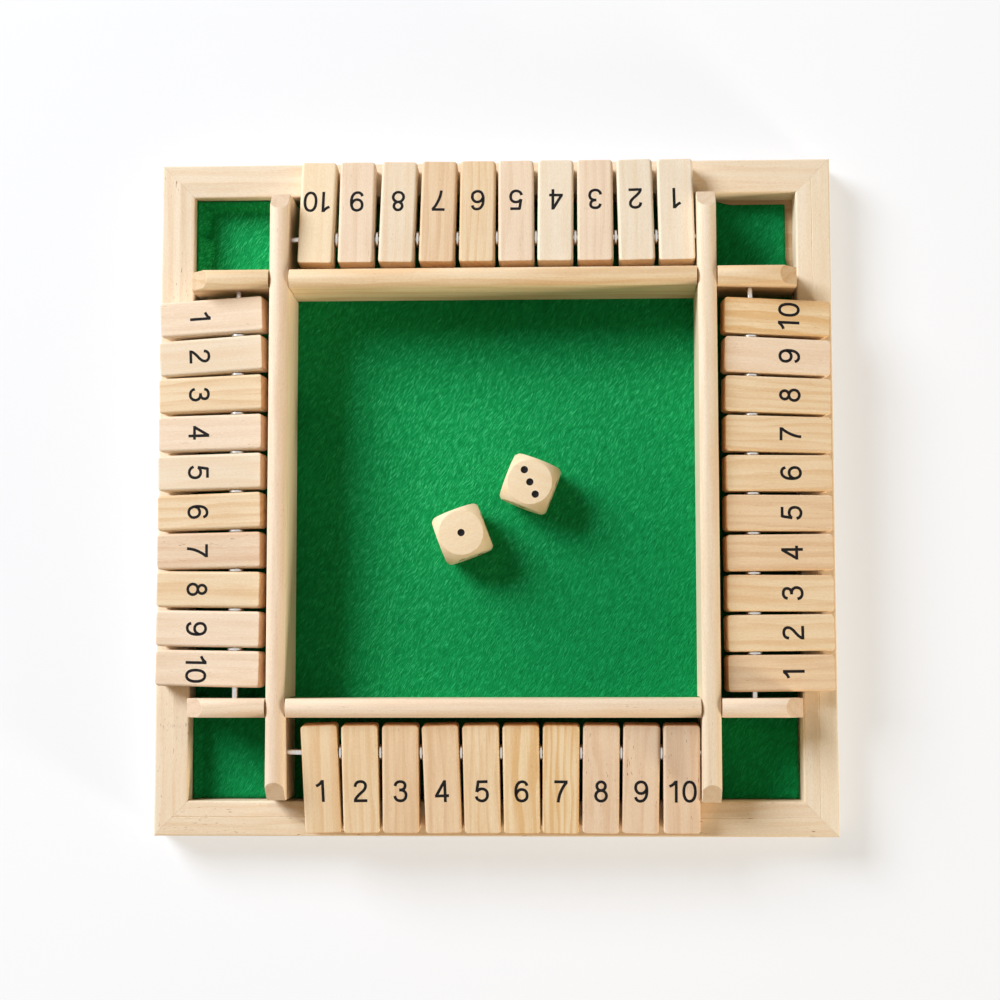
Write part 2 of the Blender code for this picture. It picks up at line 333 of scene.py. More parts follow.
@dataclass(frozen=True)
class Pine:
    """Bare sanded pine: soft growth rings, fine fibres, brown flecks and darker end grain."""

    slot: str
    fleck: Colour = (0.33, 0.17, 0.07)
    end_tint: Colour = (0.84, 0.63, 0.43)
    pore: Colour = (0.94, 0.915, 0.88)
    roughness: float = 0.56
    relief: float = 0.04 * MM
    log_length: float = 900.0
    heart_aside: Pair = (9, 45)
    heart_below: Pair = (4, 30)
    ring_spacing: float = 3.2
    ring_variety: Pair = (0.7, 1.4)
    ring_darkens: Pair = (0.30, 0.86)
    ring_ends: Pair = (0.88, 1.0)
    ring_strength: float = 1.5
    sway: Pattern = Pattern((0.022, 0.09, 0.09))
    sway_strength: float = 6.0
    fibres: Pattern = Pattern((0.07, 2.3, 2.3), 3.0, 0.6)
    fibre_strength: float = 0.80
    streaks: Pattern = Pattern((0.03, 0.55, 0.55))
    streak_strength: float = 1.3
    blotches: Pattern = Pattern((0.05, 0.10, 0.10), 1.0)
    blotch_strength: float = 0.5
    warms: Pair = (-0.30, 0.70)
    pores: Pattern = Pattern((1.1, 4.2, 4.2), 2.0, 0.6)
    pore_opens: Pair = (0.66, 0.36)
    dashes: Pattern = Pattern((0.40, 3.0, 3.0), 1.0)
    dash_starts: Pair = (0.68, 0.76)
    patches: Pattern = Pattern((0.06, 0.3, 0.3), 0.0)
    patch_starts: Pair = (0.46, 0.60)
    end_starts: Pair = (0.48, 0.56)
    speckles: Pattern = Pattern((2.6, 2.6, 2.6))
    speckle_starts: Pair = (0.35, 0.70)
    speckle_share: float = 0.3

    def material(self, name: str, grain: Grain, seed: int, tone: Tone) -> bpy.types.Material:
        """Make the wood of one piece, with its own cut through the log.

        Args:
            name: The material's name.
            grain: The axis that the fibres follow.
            seed: Which cut it is.
            tone: Which kind of board it is.

        Returns:
            The material.
        """
        board = tone.value
        draw = random.Random(seed)
        shader = Shader(name, roughness=self.roughness, specular_ior_level=0.3)
        offset = (draw.uniform(0, self.log_length), draw.uniform(0, self.log_length),
                  draw.uniform(0, self.log_length))
        x, y, z = shader.place(offset)
        along, across = (x, y) if grain is Grain.X else (y, x)
        place = (along, across, z)
        beside = offset[1 - grain.value]
        out = across - (beside + draw.choice((-1, 1)) * draw.uniform(*self.heart_aside))
        down = z - (offset[2] - draw.uniform(*self.heart_below))
        sway = (shader.noise(place, self.sway) - 0.5) * self.sway_strength
        radius = (out * out + down * down).root() + sway
        ring = (radius * (1 / (self.ring_spacing * draw.uniform(*self.ring_variety)))).fraction()
        late = ring.between(*self.ring_darkens) - ring.between(*self.ring_ends)
        fibre = shader.noise(place, self.fibres)
        depth = (late * board.rings * self.ring_strength + (fibre - 0.5) * self.fibre_strength
                 + (shader.noise(place, self.streaks) - 0.5) * self.streak_strength
                 + (shader.noise(place, self.blotches) - 0.5) * self.blotch_strength)
        colour = shader.mix(depth.between(*self.warms), board.pale, board.warm)
        pores = shader.noise(place, self.pores).between(*self.pore_opens)
        colour = shader.mix(pores, colour, self.pore, "MULTIPLY")
        dashes = shader.noise(place, self.dashes).between(*self.dash_starts)
        patches = shader.noise(place, self.patches).between(*self.patch_starts)
        colour = shader.mix(dashes * patches * board.flecks, colour, self.fleck)
        ends = shader.facing(grain.value).size().between(*self.end_starts)
        speckle = shader.noise((x, y, z), self.speckles).between(*self.speckle_starts)
        tinted = shader.mix(speckle * self.speckle_share + (1 - self.speckle_share), colour, self.end_tint,
                            "MULTIPLY")
        shader.feed("Base Color", shader.mix(ends, colour, tinted))
        shader.bump(fibre * 0.7 + late * 0.3, self.relief)
        return shader.material


@dataclass(frozen=True)
class Strands:
    """A layer of the felt's strands: how it is turned from the slant and moved along, and its noise."""

    turn: float
    shift: float
    pattern: Pattern


@dataclass(frozen=True)
class Felt:
    """Short fibred felt: strands that mostly lie along one slant, with painted shade towards the south-east,
    along the north and west rails and in two corners.
    """

    slot: str = "green_felt"
    deep: Colour = (0.002, 0.240, 0.060)
    body: Colour = (0.009, 0.430, 0.120)
    # The colour that the painted shade multiplies the felt by.
    shade: Colour = (0.28, 0.60, 0.58)
    strand: Colour = (0.100, 0.800, 0.345)
    relief: float = 0.16 * MM
    slant: float = math.radians(54)
    layers: tuple[Strands, ...] = (
        Strands(0.0, 0.0, Pattern((0.42, 4.6, 0.5), 2.5, 0.6)),
        Strands(0.30, 40.0, Pattern((0.40, 4.2, 0.5), 2.5, 0.6)),
        Strands(-0.28, 90.0, Pattern((0.45, 4.4, 0.5), 2.5, 0.6)))
    bends: Pattern = Pattern((0.11, 0.11, 0.0))
    bend_strength: float = 2.8
    grains: Pattern = Pattern((3.2, 3.2, 1.0), 2.0, 0.6)
    ground_lightens: Pair = (0.38, 0.58)
    hair_starts: Pair = (0.59, 0.67)
    cross_hair_starts: Pair = (0.61, 0.69)
    wall_nears: Pair = (15.0, 66.0)
    wall_touches: Pair = (68.0, 74.0)
    corner_nears: Pair = (1500.0, 6000.0)
    board_crosses: Pair = (-70.0, 130.0)

    def material(self) -> bpy.types.Material:
        """Make the felt's material."""
        shader = Shader("green_felt", roughness=0.95, specular_ior_level=0.10)
        x, y, z = shader.place((0.0, 0.0, 0.0))
        bend = (shader.noise((x, y, z), self.bends) - 0.5) * self.bend_strength
        strands = []
        for layer in self.layers:
            angle = self.slant + layer.turn
            along = x * math.cos(angle) + y * math.sin(angle) + layer.shift
            across = y * math.cos(angle) - x * math.sin(angle) + bend
            strands.append(shader.noise((along, across, z), layer.pattern))
        matted = strands[0] * 0.5 + strands[1] * 0.27 + strands[2] * 0.23
        grain = shader.noise((x, y, z), self.grains) - 0.5
        lightness = matted + grain * 0.25
        ground = shader.mix(lightness.between(*self.ground_lightens), self.deep, self.body)
        hairs = strands[0].between(*self.hair_starts)
        hairs = hairs.at_least(strands[1].between(*self.cross_hair_starts) * 0.8)
        # Painted shade: the felt is darkened towards the south-east, along the north and west rails and in
        # the north-east and south-west corners, where cast shade and fading light lie; from 68 mm out, the
        # shade along the walls eases by half.
        north_west = y.at_least(x * -1.0)
        shade_by_walls = north_west.between(*self.wall_nears) * 0.7 - north_west.between(*self.wall_touches) * 0.35
        shade_by_corners = (x * y).between(*self.corner_nears) * 0.9
        painted_shade_mask = (x - y).between(*self.board_crosses).at_least(shade_by_walls).at_least(shade_by_corners)
        # Fewer bright strands show where the painted shade lies.
        coloured = shader.mix(hairs * (0.95 - painted_shade_mask * 0.5), ground, self.strand)
        shader.feed("Base Color", shader.mix(painted_shade_mask, coloured, self.shade, "MULTIPLY"))
        shader.bump(matted + grain * 0.3, self.relief)
        return shader.material


@dataclass(frozen=True)
class Steel:
    """Bright drawn steel rod."""

    slot: str = "steel_rod"
    colour: Colour = (0.52, 0.51, 0.49)
    bright: Colour = (0.80, 0.79, 0.77)
    marks: Pattern = Pattern((4.0, 0.5, 0.5))

    def material(self) -> bpy.types.Material:
        """Make the steel's material, with faint marks around the rod."""
        shader = Shader("bright_steel", metallic=1.0)
        marks = shader.noise(shader.place((0.0, 0.0, 0.0)), self.marks)
        shader.feed("Base Color", shader.mix(marks, self.colour, self.bright))
        shader.feed("Roughness", marks * 0.18 + 0.16)
        return shader.material


@dataclass(frozen=True)
class Ink:
    """Black printing ink, a little uneven."""

    colour: Colour = (0.009, 0.008, 0.008)
    worn: Colour = (0.018, 0.014, 0.012)
    wear: Pattern = Pattern((3.0, 3.0, 3.0))
    wear_starts: Pair = (0.5, 0.9)

    def material(self, name: str) -> bpy.types.Material:
        """Make the ink's material."""
        shader = Shader(name, roughness=0.7, specular_ior_level=0.15)
        wear = shader.noise(shader.place((0.0, 0.0, 0.0)), self.wear).between(*self.wear_starts)
        shader.feed("Base Color", shader.mix(wear, self.colour, self.worn))
        return shader.material


def linked(name: str, data: Any) -> bpy.types.Object:
    """Add an object with its data to the scene."""
    made = bpy.data.objects.new(name, data)
    bpy.context.scene.collection.objects.link(made)
    return made


def new_piece(name: str, mesh: bpy.types.Mesh, body: str,
              material: Optional[bpy.types.Material] = None, stands_for: Sequence[str] = (),
              place: Optional[Matrix] = None) -> bpy.types.Object:
    """Add a mesh as a piece that rides on a body.

    Args:
        name: The piece's name.
        mesh: Its mesh.
        body: The body that it rides on.
        material: Its material, where the mesh has none yet.
        stands_for: The solids that it replaces.
        place: Where it lies, if not as the mesh has it.

    Returns:
        The new object.
    """
    piece = linked(name, mesh)
    if material and mesh.materials:
        mesh.materials[0] = material
    elif material:
        mesh.materials.append(material)
    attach(piece, body)
    if stands_for:
        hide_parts(*stands_for)
    if place:
        piece.matrix_world = place
    LOG.info("%s: %d faces on %s", name, len(mesh.polygons), body)
    return piece


def smoothed(mesh: bpy.types.Mesh, sharp: float) -> bpy.types.Mesh:
    """Shade a mesh smooth but for the edges from an angle in degrees on."""
    mesh.shade_smooth()
    mesh.set_sharp_from_angle(angle=math.radians(sharp))
    return mesh


def closed_mesh(name: str, shape: bmesh.types.BMesh, sharp: float = 40.0) -> bpy.types.Mesh:
    """Turn a bmesh into a smooth shaded mesh.

    Args:
        name: The mesh's name.
        shape: The bmesh, which is freed.
        sharp: The angle in degrees from which an edge stays sharp.

    Returns:
        The mesh.
    """
    bmesh.ops.recalc_face_normals(shape, faces=shape.faces)
    mesh = bpy.data.meshes.new(name)
    shape.to_mesh(mesh)
    shape.free()
    return smoothed(mesh, sharp)


def loft_into(shape: bmesh.types.BMesh, rings: Iterable[Sequence[Point]], closed: bool = False) -> None:
    """Join rings of points one after the other, and the last to the first or else cap both ends."""
    loops = [[shape.verts.new(point) for point in ring] for ring in rings]
    count = len(loops[0])
    for first, second in zip(loops, loops[1:] + (loops[:1] if closed else [])):
        for step in range(count):
            after = (step + 1) % count
            shape.faces.new((first[step], first[after], second[after], second[step]))
    if not closed:
        shape.faces.new(loops[0])
        shape.faces.new(reversed(loops[-1]))


def cylinder_into(shape: bmesh.types.BMesh, radius: float, length: float, segments: int,
                  matrix: Matrix) -> None:
    """Add a closed cylinder along Z, moved by a matrix."""
    bmesh.ops.create_cone(shape, cap_ends=True, segments=segments, radius1=radius, radius2=radius,
                          depth=length, matrix=matrix)


def boolean(operation: str, other: bpy.types.Mesh, **more: str) -> Change:
    """Return an exact Boolean modifier's type and settings."""
    return "BOOLEAN", {"operation": operation, "solver": "EXACT", "object": other, **more}


def bevel(width: float, segments: int, angle: float) -> Change:
    """Return a Bevel modifier's type and settings, for edges from an angle in degrees on."""
    return "BEVEL", {"width": width, "segments": segments, "limit_method": "ANGLE",
                     "angle_limit": math.radians(angle)}


def modified(mesh: bpy.types.Mesh, *changes: Change) -> bpy.types.Mesh:
    """Apply modifiers to a mesh.

    Args:
        mesh: The mesh, which is left as it is.
        changes: Each modifier's type and settings; a mesh among them is lent an object.

    Returns:
        A new mesh.
    """
    blank = linked("blank", mesh)
    spare = [blank]
    for kind, settings in changes:
        modifier = blank.modifiers.new(kind, kind)
        for key, value in settings.items():
            if isinstance(value, bpy.types.Mesh):
                value = linked("guide", value)
                value.hide_render = True
                spare.append(value)
            setattr(modifier, key, value)
    bpy.context.view_layer.update()
    graph = bpy.context.evaluated_depsgraph_get()
    made = bpy.data.meshes.new_from_object(blank.evaluated_get(graph))
    for piece in spare:
        bpy.data.objects.remove(piece)
    return made


def fillet(before: Sequence[float], corner: Sequence[float], after: Sequence[float], radius: float,
           steps: int = 4, lead_share: float = 0.2) -> list[Pair]:
    """Return the points of a rounding at one corner of an outline, with a short straight lead beside it."""
    corner, before, after = Vector(corner), Vector(before), Vector(after)
    back, forth = (before - corner).normalized(), (after - corner).normalized()
    half = back.angle(forth) / 2
    middle = corner + (back + forth).normalized() * (radius / math.sin(half))
    start = corner + back * (radius / math.tan(half))
    end = corner + forth * (radius / math.tan(half))
    spread = (start - middle).angle_signed(end - middle)
    turns = [Matrix.Rotation(-spread * step / steps, 2) for step in range(steps + 1)]
    lead = radius * lead_share
    return ([tuple(start + back * lead)] + [tuple(middle + turn @ (start - middle)) for turn in turns]
            + [tuple(end + forth * lead)])


@dataclass
class Mouldings:
    """The four mitred mouldings around the board."""

    wood: Pine = Pine("frame_wood")
    flat_band: float = 5.2 * MM
    slope: float = math.radians(7.0)
    base_rebate: float = 4.0 * MM
    rebate_height: float = 3.3 * MM
    rounding: float = 0.7 * MM
    mitre_gap: float = 0.03 * MM
    kerf: float = 0.18 * MM
    kerfed: tuple[Side, ...] = (Side.SOUTH, Side.EAST)
    tones: tuple[Tone, ...] = (Tone.TORN, Tone.PALE, Tone.CREAM, Tone.TORN)
    pieces: int = 60
    first_cut: int = 11

    def outline(self, inner: float, outer: float, height: float, kerf: float) -> list[Pair]:
        """Return the section as points of distance from the middle and height.

        Args:
            inner: How far from the middle the inner side is.
            outer: How far from the middle the outer side is.
            height: How high the flat band is.
            kerf: How deep the saw cut between the two bands is.

        Returns:
            The points, around the section.
        """
        crease = inner + self.flat_band
        outer_height = height - (outer - crease) * math.tan(self.slope)
        inner_foot, inner_top, crest = (inner, self.rebate_height), (inner, height), (crease, height)
        outer_top, outer_foot = (outer, outer_height), (outer, 0.0)
        rebate = (inner + self.base_rebate, 0.0)
        rebate_top = (inner + self.base_rebate, self.rebate_height)
        if kerf:
            fold = [(crease - kerf, height), (crease, height - kerf), (crease + kerf, height - kerf * 0.2)]
        else:
            fold = fillet(inner_top, crest, outer_top, self.rounding * 2, 2)
        return ([inner_foot] + fillet(inner_foot, inner_top, crest, self.rounding) + fold
                + fillet(crest, outer_top, outer_foot, self.rounding)
                + fillet(outer_top, outer_foot, rebate, self.rounding * 0.5, 2) + [rebate, rebate_top])

    def build(self) -> None:
        """Build the four mouldings."""
        back = self.mitre_gap / 2 * math.sqrt(2)
        shares = [step / self.pieces * 2 - 1 for step in range(self.pieces + 1)]
        for index, side in enumerate(Side):
            node = "moulding_" + side.word
            low, high = side.box(node)
            outline = self.outline(-high.y, -low.y, high.z, self.kerf if side in self.kerfed else 0.0)
            shape = bmesh.new()
            loft_into(shape, [[(share * (reach - back), -reach, height) for reach, height in outline]
                              for share in shares])
            mesh = closed_mesh(node, shape, 30.0)
            wood = self.wood.material("pine_" + node, Grain.X, self.first_cut + index, self.tones[index])
            new_piece(node + "_dressed", mesh, "board", wood, [node], side.turn)


@dataclass
class Rails:
    """The four crossing rails with round tops, bevelled ends, laps and rod holes."""

    wood: Pine = Pine("rail_wood", end_tint=(0.77, 0.72, 0.68))
    tones: tuple[Tone, ...] = (Tone.ROSY, Tone.CREAM, Tone.HONEY, Tone.ROSY)
    crown: float = 1.7 * MM
    end_bevel: float = 5.9 * MM
    lap_gap: float = 0.3 * MM
    bore_radius: float = 1.15 * MM
    edge: float = 0.18 * MM
    smallest_flat: float = 1.0 * MM * MM
    arc_steps: int = 20
    bore_sides: int = 24
    overrun: float = 1.0 * MM
    first_cut: int = 31

    def bar(self, low: Vector, high: Vector, line: float) -> bpy.types.Mesh:
        """Return a rail along X between two corners, with its ends cut back at 45 degrees."""
        half = (high.y - low.y) / 2
        radius = (half ** 2 + self.crown ** 2) / (2 * self.crown)
        spread = math.asin(half / radius)
        turns = [spread * (1 - 2 * step / self.arc_steps) for step in range(self.arc_steps + 1)]
        outline = [(line + radius * math.sin(turn), high.z - radius + radius * math.cos(turn))
                   for turn in turns]
        outline += [(line - half, low.z), (line + half, low.z)]
        shape = bmesh.new()
        loft_into(shape, [[(end, across, height) for across, height in outline] for end in (low.x, high.x)])
        for end, way in ((low.x, -1), (high.x, 1)):
            parts = shape.verts[:] + shape.edges[:] + shape.faces[:]
            bmesh.ops.bisect_plane(shape, geom=parts, plane_co=(end, 0, high.z - self.end_bevel),
                                   plane_no=(way, 0, 1), clear_outer=True)
            bmesh.ops.edgeloop_fill(shape, edges=[edge for edge in shape.edges if edge.is_boundary])
        return closed_mesh("bar", shape)

    def flatten(self, mesh: bpy.types.Mesh) -> None:
        """Shade the walls, ends and foot of a rail flat, and leave its crown and its edges smooth."""
        for face in mesh.polygons:
            upright, endways = abs(face.normal.z) < 0.01, abs(face.normal.x) > 0.7
            if face.area > self.smallest_flat and (upright or endways or face.normal.z < -0.9):
                face.use_smooth = False

    def build(self, rod_line: float, rod_height: float) -> None:
        """Build the four rails.

        Args:
            rod_line: How far the rods lie from the middle of the board.
            rod_height: How high they lie.
        """
        for index, side in enumerate(Side):
            node = "rail_" + side.word
            low, high = side.box(node)
            line, middle, thickness = (low.y + high.y) / 2, (low.z + high.z) / 2, high.y - low.y
            through = thickness + 2 * self.overrun
            over = side in (Side.EAST, Side.WEST)
            foot, top = (low.z - self.overrun, middle) if over else (middle, high.z + self.overrun)
            lap = Matrix.Diagonal((thickness + 2 * self.lap_gap, through, top - foot, 1))
            cutter = bmesh.new()
            for way in (-1, 1):
                at_lap = Matrix.Translation((-way * line, line, (foot + top) / 2))
                bmesh.ops.create_cube(cutter, size=1, matrix=at_lap @ lap)
                at_bore = Matrix.Translation((way * rod_line, line, rod_height))
                cylinder_into(cutter, self.bore_radius, through, self.bore_sides,
                              at_bore @ Matrix.Rotation(math.pi / 2, 4, "X"))
            cut = modified(self.bar(low, high, line), boolean("DIFFERENCE", closed_mesh("knife", cutter)),
                           bevel(self.edge, 2, 35))
            self.flatten(smoothed(cut, 32))
            wood = self.wood.material("pine_" + node, Grain.X, self.first_cut + index, self.tones[index])
            new_piece(node + "_dressed", cut, "board", wood, [node], side.turn)


@dataclass
class Rod:
    """A steel rod along X with the thin collars that part its tiles."""

    steel: Steel = Steel()
    radius: float = 1.0 * MM
    collar_thickness: float = 0.8 * MM
    chamfer: float = 0.12 * MM
    sides: int = 32

    def profile(self, low: float, high: float, collars: Sequence[float],
                collar_radius: float) -> list[Pair]:
        """Return the turned profile as points of distance along the rod and radius."""
        points = [(low, self.radius - self.chamfer), (low + self.chamfer, self.radius)]
        half = self.collar_thickness / 2
        for middle in collars:
            points += [(middle - half, self.radius), (middle - half, collar_radius - self.chamfer),
                       (middle - half + self.chamfer, collar_radius),
                       (middle + half - self.chamfer, collar_radius),
                       (middle + half, collar_radius - self.chamfer), (middle + half, self.radius)]
        return points + [(high - self.chamfer, self.radius), (high, self.radius - self.chamfer)]

    def build(self, side: Side, places: Sequence[float], line: float, height: float,
              material: bpy.types.Material) -> None:
        """Build one rod.

        Args:
            side: The side of the board that it belongs to.
            places: Where the tiles sit along it.
            line: How far it lies from the middle of the board.
            height: How high it lies.
            material: The steel.
        """
        node = "axle_" + side.word
        low, high = side.box(node)
        collars = [(before + after) / 2 for before, after in zip(places, places[1:])]
        profile = self.profile(low.x, high.x, collars, (high.z - low.z) / 2)
        turns = [2 * math.pi * step / self.sides for step in range(self.sides)]
        shape = bmesh.new()
        loft_into(shape, [[(along, radius * math.cos(turn), radius * math.sin(turn)) for turn in turns]
                          for along, radius in profile])
        place = side.turn @ Matrix.Translation((0, -line, height))
        new_piece(node + "_dressed", closed_mesh(node, shape, 30.0), "board", material,
                  [node], place)


@dataclass(frozen=True)
class Stroke:
    """One stroke of a digit: points in shares of the digit's height, joined straight or smoothly."""

    points: tuple[Pair, ...]
    curved: bool = True
    closed: bool = False

    def path(self, steps: int = 6) -> list[Vector]:
        """Return the points of the stroke's middle line."""
        knots = [Vector(point) for point in self.points]
        if not self.curved:
            return knots
        count = len(knots)
        spans = count if self.closed else count - 1
        made = []
        for span in range(spans):
            if self.closed:
                four = [knots[(span + shift) % count] for shift in (-1, 0, 1, 2)]
            else:
                four = [knots[min(max(span + shift, 0), count - 1)] for shift in (-1, 0, 1, 2)]
            for step in range(steps):
                made.append(self.spline(four, step / steps))
        if not self.closed:
            made.append(knots[-1])
        return made

    @staticmethod
    def spline(four: Sequence[Vector], share: float) -> Vector:
        """Return a point of the smooth curve through the two middle points of four."""
        before, start, end, after = four
        square, cube = share * share, share * share * share
        return (start * 2 + (end - before) * share + (before * 2 - start * 5 + end * 4 - after) * square
                + (start * 3 - before - end * 3 + after) * cube) * 0.5


def oval(middle: Pair, half_width: float, half_height: float, fullness: float = 2.0,
         steps: int = 24) -> Stroke:
    """Return a closed stroke around a middle; a fullness over 2 squares the oval a little."""
    points = []
    for step in range(steps):
        turn = 2 * math.pi * step / steps
        across, along = (math.copysign(abs(part) ** (2 / fullness), part)
                         for part in (math.cos(turn), math.sin(turn)))
        points.append((middle[0] + half_width * across, middle[1] + half_height * along))
    return Stroke(tuple(points), closed=True)


SIX = (Stroke(((0.247, 0.755), (0.205, 0.860), (0.115, 0.927), (0.015, 0.938), (-0.105, 0.900),
               (-0.200, 0.790), (-0.250, 0.640), (-0.262, 0.450), (-0.240, 0.270), (-0.165, 0.125),
               (-0.060, 0.070), (0.020, 0.0625), (0.130, 0.095), (0.220, 0.185), (0.248, 0.310),
               (0.225, 0.445), (0.140, 0.550), (0.015, 0.588), (-0.105, 0.560), (-0.200, 0.475),
               (-0.245, 0.370))),)
DIGITS: dict[str, tuple[Stroke, ...]] = {
    "0": (oval((0.0, 0.5), 0.258, 0.4375, 2.25),),
    "1": (Stroke(((0.075, 0.0), (0.075, 1.0)), curved=False),
          Stroke(((-0.225, 0.735), (-0.110, 0.790), (-0.010, 0.875), (0.060, 0.965)))),
    "2": (Stroke(((-0.245, 0.700), (-0.215, 0.825), (-0.125, 0.912), (0.005, 0.9375), (0.130, 0.912),
                  (0.213, 0.832), (0.232, 0.720), (0.190, 0.600), (0.100, 0.490), (-0.030, 0.375),
                  (-0.150, 0.255), (-0.225, 0.150), (-0.250, 0.070))),
          Stroke(((-0.3125, 0.0625), (0.300, 0.0625)), curved=False)),
    "3": (Stroke(((-0.245, 0.735), (-0.205, 0.850), (-0.110, 0.923), (0.000, 0.9375), (0.112, 0.915),
                  (0.193, 0.845), (0.210, 0.740), (0.170, 0.632), (0.080, 0.572), (-0.060, 0.552))),
          Stroke(((-0.060, 0.552), (0.070, 0.545), (0.178, 0.495), (0.243, 0.390), (0.248, 0.275),
                  (0.200, 0.155), (0.105, 0.083), (-0.010, 0.0625), (-0.130, 0.087), (-0.222, 0.165),
                  (-0.262, 0.285)))),
    "4": (Stroke(((0.125, 0.0), (0.125, 1.0)), curved=False),
          Stroke(((-0.290, 0.275), (0.110, 0.950)), curved=False),
          Stroke(((-0.335, 0.290), (0.300, 0.290)), curved=False)),
    "5": (Stroke(((-0.190, 0.9375), (0.270, 0.9375)), curved=False),
          Stroke(((-0.155, 0.960), (-0.232, 0.470)), curved=False),
          Stroke(((-0.235, 0.490), (-0.130, 0.578), (-0.010, 0.612), (0.122, 0.585), (0.218, 0.498),
                  (0.252, 0.360), (0.228, 0.215), (0.148, 0.110), (0.020, 0.0625), (-0.112, 0.087),
                  (-0.210, 0.160), (-0.262, 0.275)))),
    "6": SIX,
    "7": (Stroke(((-0.300, 0.9375), (0.300, 0.9375)), curved=False),
          Stroke(((0.262, 0.930), (0.130, 0.750), (0.020, 0.540), (-0.060, 0.330), (-0.103, 0.140),
                  (-0.118, 0.0)))),
    "8": (oval((0.0, 0.742), 0.193, 0.197), oval((0.0, 0.303), 0.243, 0.2405)),
    "9": tuple(Stroke(tuple((-x, 1 - y) for x, y in stroke.points)) for stroke in SIX),
}


@dataclass
class Numbers:
    """The printed numbers, as thin solid layers of ink."""

    height: float = 7.0 * MM
    weight_share: float = 0.132
    advance_share: float = 0.675
    proud: float = 0.02 * MM
    sunk: float = 0.02 * MM

    def ribbon(self, stroke: Stroke) -> bpy.types.Mesh:
        """Return a stroke as a thin closed layer."""
        path = stroke.path()
        last = len(path) - 1
        rings = []
        for index, point in enumerate(path):
            before = path[index - 1 if index or stroke.closed else 0]
            after = path[index + 1 if index < last else 0 if stroke.closed else last]
            way = (after - before).normalized()
            aside = Vector((-way.y, way.x)) * self.weight_share / 2
            left, right = (point + aside) * self.height, (point - aside) * self.height
            rings.append([(*left, self.proud), (*right, self.proud),
                          (*right, -self.sunk), (*left, -self.sunk)])
        shape = bmesh.new()
        loft_into(shape, rings, stroke.closed)
        return closed_mesh("ribbon", shape)

    def digit(self, sign: str) -> bpy.types.Mesh:
        """Return a digit, its strokes joined into one layer."""
        made, *others = [self.ribbon(stroke) for stroke in DIGITS[sign]]
        for other in others:
            made = modified(made, boolean("UNION", other))
        return made

    def number(self, value: int) -> bpy.types.Mesh:
        """Return a number's mesh, with the middle of its height at the origin."""
        signs = str(value)
        shape = bmesh.new()
        for index, sign in enumerate(signs):
            mesh = self.digit(sign)
            shift = (index - (len(signs) - 1) / 2) * self.advance_share * self.height
            mesh.transform(Matrix.Translation((shift, -self.height / 2, 0)))
            shape.from_mesh(mesh)
        return closed_mesh("number_%d" % value, shape, 50.0)


@dataclass
class TilePose:
    """Where a tile of the frame lies: its own axes, its rod's middle and its reaches."""

    matrix: Matrix
    half_width: float
    half_thickness: float
    inner_reach: float
    outer_reach: float

    @classmethod
    def of(cls, node: bpy.types.Object, hinge: Vector) -> TilePose:
        """Measure a tile's solid.

        Args:
            node: The solid.
            hinge: A point on its rod, midway through the tile.

        Returns:
            The pose: X along the rod, Y towards the middle of the board, Z out of the printed face.
        """
        corners = np.unique(np.round([vert.co for vert in node.data.vertices], 7), axis=0)
        spread = corners - corners.mean(axis=0)
        axes = np.linalg.eigh(spread.T @ spread)[1]
        thin, long = Vector(axes[:, 0]), Vector(axes[:, 2])
        up = thin if thin.z > 0 else -thin
        inward = long if long.dot(Vector((-hinge.x, -hinge.y, 0))) > 0 else -long
        aside = inward.cross(up)
        rotation = Matrix((aside, inward, up)).transposed()
        reach = (corners - np.array(hinge)) @ np.array(rotation)
        low, high = reach.min(axis=0), reach.max(axis=0)
        return cls(Matrix.Translation(hinge) @ rotation.to_4x4(), (high[0] - low[0]) / 2,
                   (high[2] - low[2]) / 2, high[1], -low[1])


